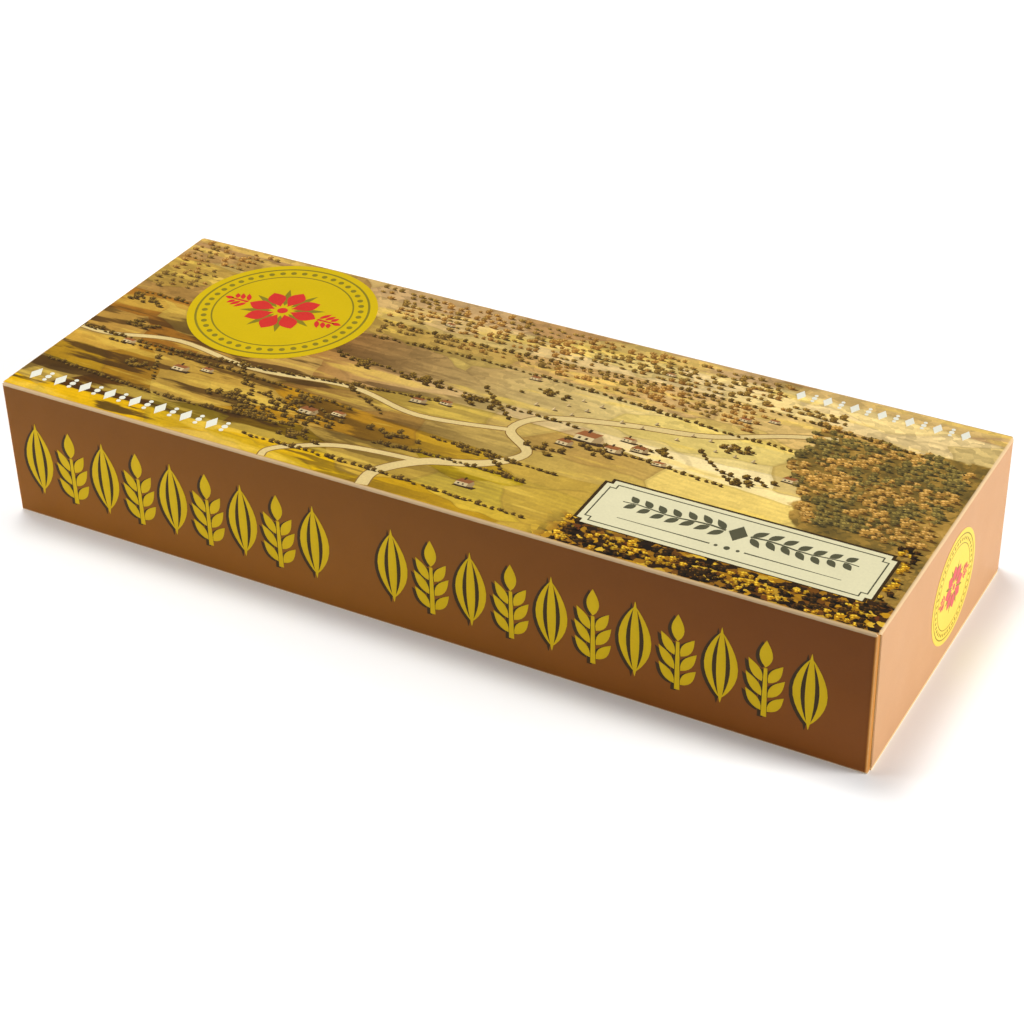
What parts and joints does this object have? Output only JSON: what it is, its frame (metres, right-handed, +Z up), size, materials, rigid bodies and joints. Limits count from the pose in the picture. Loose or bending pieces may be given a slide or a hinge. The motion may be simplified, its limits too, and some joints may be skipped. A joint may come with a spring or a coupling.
{
  "type": "shut gift carton of pecan pralines",
  "caption": "Long flat printed paperboard carton, shut, with a closure panel tucked in at each short end; holds small sweets as a gift.",
  "frame": {"origin": "centre of the bottom face, on the surface that the carton stands on", "axes": "+X along the length, with the shown closure end at +X; the shown front panel faces -Y; +Z up out of the top panel"},
  "size_m": [0.28, 0.1064, 0.0456],
  "materials": {
    "printed_card": "satin coated folding boxboard, printed brown on the sides and ends and ochre, sand and olive on the top",
    "card_edge": "raw cut edge of the board, pale and matt",
    "yellow_ink": "satin printed yellow",
    "dark_ink": "satin printed dark brown",
    "earth_ink": "satin printed browns, olives and ochres",
    "cream_ink": "satin printed cream and white",
    "red_ink": "satin printed red"
  },
  "bodies": {
    "root": {"carton": "printed_card"}
  },
  "joints": []
}
